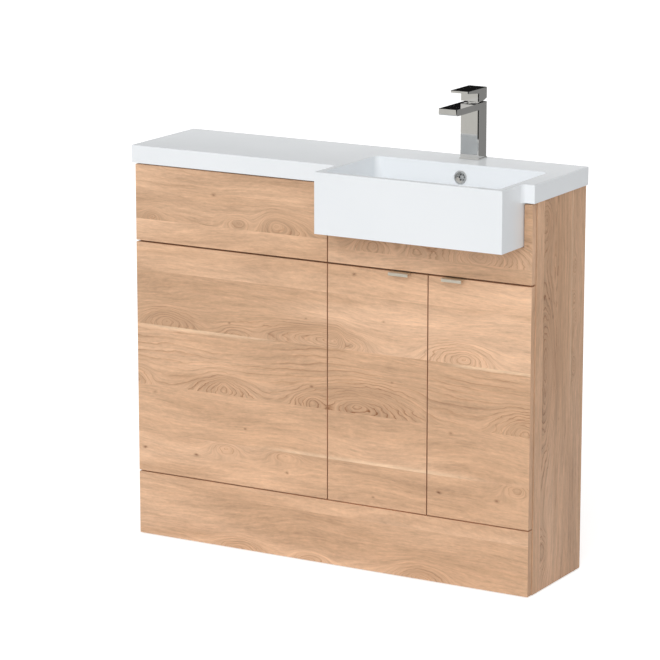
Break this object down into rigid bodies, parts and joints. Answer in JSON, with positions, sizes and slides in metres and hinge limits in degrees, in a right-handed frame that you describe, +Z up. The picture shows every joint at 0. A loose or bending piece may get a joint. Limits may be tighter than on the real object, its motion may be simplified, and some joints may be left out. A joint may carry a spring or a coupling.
{
  "type": "toilet and basin combination unit",
  "caption": "Slimline wood-effect toilet unit and two-door vanity cupboard side by side under one white top, with a semi-recessed rectangular basin and a square mono mixer tap.",
  "frame": {"origin": "on the floor, in the middle of the width and of the whole depth, basin included", "axes": "+X along the wall to the basin end, +Y back to the wall, +Z up"},
  "size_m": [1.01, 0.355, 1.064],
  "materials": {
    "oak_decor": "matt light oak decor",
    "cast_marble": "gloss white gel coat",
    "chrome": "polished",
    "aluminium": "satin anodised",
    "steel": "nickel plated",
    "nylon": "moulded",
    "rubber": "matt black",
    "beech": "turned, fluted"
  },
  "bodies": {
    "carcass": {"wc_side_left": "oak_decor", "wc_side_right": "oak_decor", "vanity_side_left": "oak_decor", "vanity_side_right": "oak_decor", "wc_top_rails": "oak_decor", "wc_mid_rail": "oak_decor", "wc_low_rail": "oak_decor", "vanity_base": "oak_decor", "vanity_back_rails": "oak_decor", "vanity_front_rail": "oak_decor", "dowels": "beech", "cam_fittings": "steel", "unit_connectors": "steel", "glides": "nylon", "vanity_shelf": "oak_decor", "shelf_pins": "steel", "vanity_fascia": "oak_decor", "wc_lower_panel": "oak_decor", "plinth": "oak_decor", "plinth_clips": "nylon", "panel_spacers": "nylon", "panel_screws": "steel", "door_bumpers": "nylon", "wall_brackets": "steel", "bracket_screws": "steel", "panel_sockets": "nylon", "hinge_plates": "steel", "hinge_plate_screws": "steel", "hinge_arms": "steel", "basin_worktop": "cast_marble", "overflow_ring": "chrome", "waste_body": "chrome", "waste_washer": "rubber", "waste_nut": "nylon", "tap_base_ring": "chrome", "tap_body": "chrome", "tap_aerator": "chrome", "tap_cartridge": "nylon", "cartridge_nut": "chrome", "tap_stud": "steel", "tap_clamp_plate": "steel", "tap_nut": "steel"},
    "door_left": {"door_left": "oak_decor", "handle_left": "aluminium", "handle_screws_left": "steel", "hinge_cups_left": "steel"},
    "door_right": {"door_right": "oak_decor", "handle_right": "aluminium", "handle_screws_right": "steel", "hinge_cups_right": "steel"},
    "links_left": {"hinge_links_left": "steel"},
    "links_right": {"hinge_links_right": "steel"},
    "tap_yoke": {"cartridge_yoke": "nylon"},
    "tap_handle": {"tap_stem": "steel", "tap_lever": "chrome", "lever_screw": "steel", "lever_plug": "chrome"},
    "waste_plug": {"waste_plug": "chrome"},
    "access_panel": {"wc_access_panel": "oak_decor", "panel_studs": "nylon"}
  },
  "joints": [
    {"name": "link_left_turn", "type": "hinge", "parent": "carcass", "child": "links_left", "pos_m": [0.033, -0.043, 0.41875], "axis": [0, 0, 1], "range_deg": [0, 39.9]},
    {"name": "door_left_swing", "type": "hinge", "parent": "links_left", "child": "door_left", "pos_m": [0.01, -0.0635, 0.41875], "axis": [0, 0, -1], "range_deg": [0, 144.9]},
    {"name": "link_right_turn", "type": "hinge", "parent": "carcass", "child": "links_right", "pos_m": [0.467, -0.043, 0.41875], "axis": [0, 0, -1], "range_deg": [0, 39.9]},
    {"name": "door_right_swing", "type": "hinge", "parent": "links_right", "child": "door_right", "pos_m": [0.49, -0.0635, 0.41875], "axis": [0, 0, 1], "range_deg": [0, 144.9]},
    {"name": "tap_turn", "type": "hinge", "parent": "carcass", "child": "tap_yoke", "pos_m": [0.24, 0.1465, 1.02], "axis": [0, 0, 1], "range_deg": [-45, 45]},
    {"name": "lever_lift", "type": "hinge", "parent": "tap_yoke", "child": "tap_handle", "pos_m": [0.24, 0.1465, 1.024], "axis": [-1, 0, 0], "range_deg": [0, 20]},
    {"name": "plug_pop", "type": "slide", "parent": "carcass", "child": "waste_plug", "axis": [0, 0, 1], "range_m": [0, 0.007]},
    {"name": "access_panel_pull", "type": "slide", "parent": "carcass", "child": "access_panel", "axis": [0, -1, 0], "range_m": [0, 0.15]}
  ],
  "couplings": [
    {"joint": "link_left_turn", "follows": "door_left_swing", "ratio": 0.27536},
    {"joint": "link_right_turn", "follows": "door_right_swing", "ratio": 0.27536}
  ]
}
